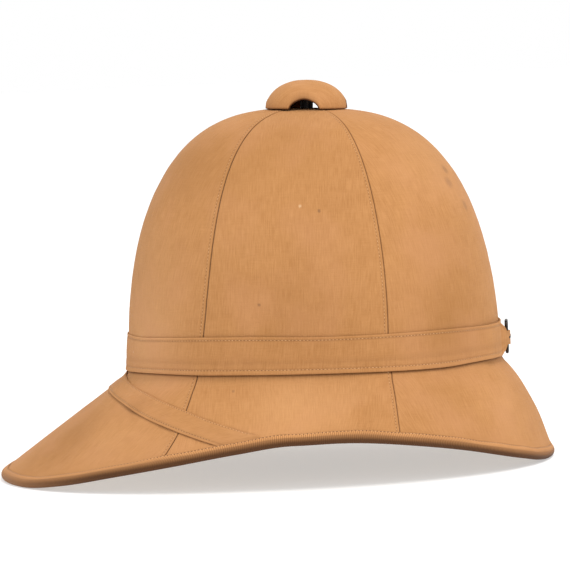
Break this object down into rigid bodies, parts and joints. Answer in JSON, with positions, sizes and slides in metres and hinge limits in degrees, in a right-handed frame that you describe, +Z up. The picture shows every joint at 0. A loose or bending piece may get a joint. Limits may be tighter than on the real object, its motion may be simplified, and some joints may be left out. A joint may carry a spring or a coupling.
{
  "type": "pith helmet",
  "caption": "Cloth-covered tropical sun helmet with a sloping brim, bound edge, brow strip, buckled hat band and a raised ventilator cap.",
  "frame": {"origin": "middle of the helmet's outline on the plane that its brim rests on", "axes": "+Z up, -Y towards the peak at the front, +X towards the wearer's left"},
  "size_m": [0.2498, 0.334, 0.23],
  "materials": {
    "pith": "matt pressed pith with a plain lined inner face",
    "cloth": "matt tan cotton drill",
    "ribbon": "ribbed tan ribbon with a slight sheen",
    "metal": "blackened, satin"
  },
  "bodies": {
    "root": {"body_shell": "pith", "cover_gore_1": "cloth", "cover_gore_2": "cloth", "cover_gore_3": "cloth", "cover_gore_4": "cloth", "cover_gore_5": "cloth", "cover_gore_6": "cloth", "brow_strip": "cloth", "hat_band": "cloth", "brim_binding": "ribbon", "ventilator_cap": "cloth", "ventilator_stud": "metal", "buckle_frame": "metal", "buckle_prong": "metal"}
  },
  "joints": []
}
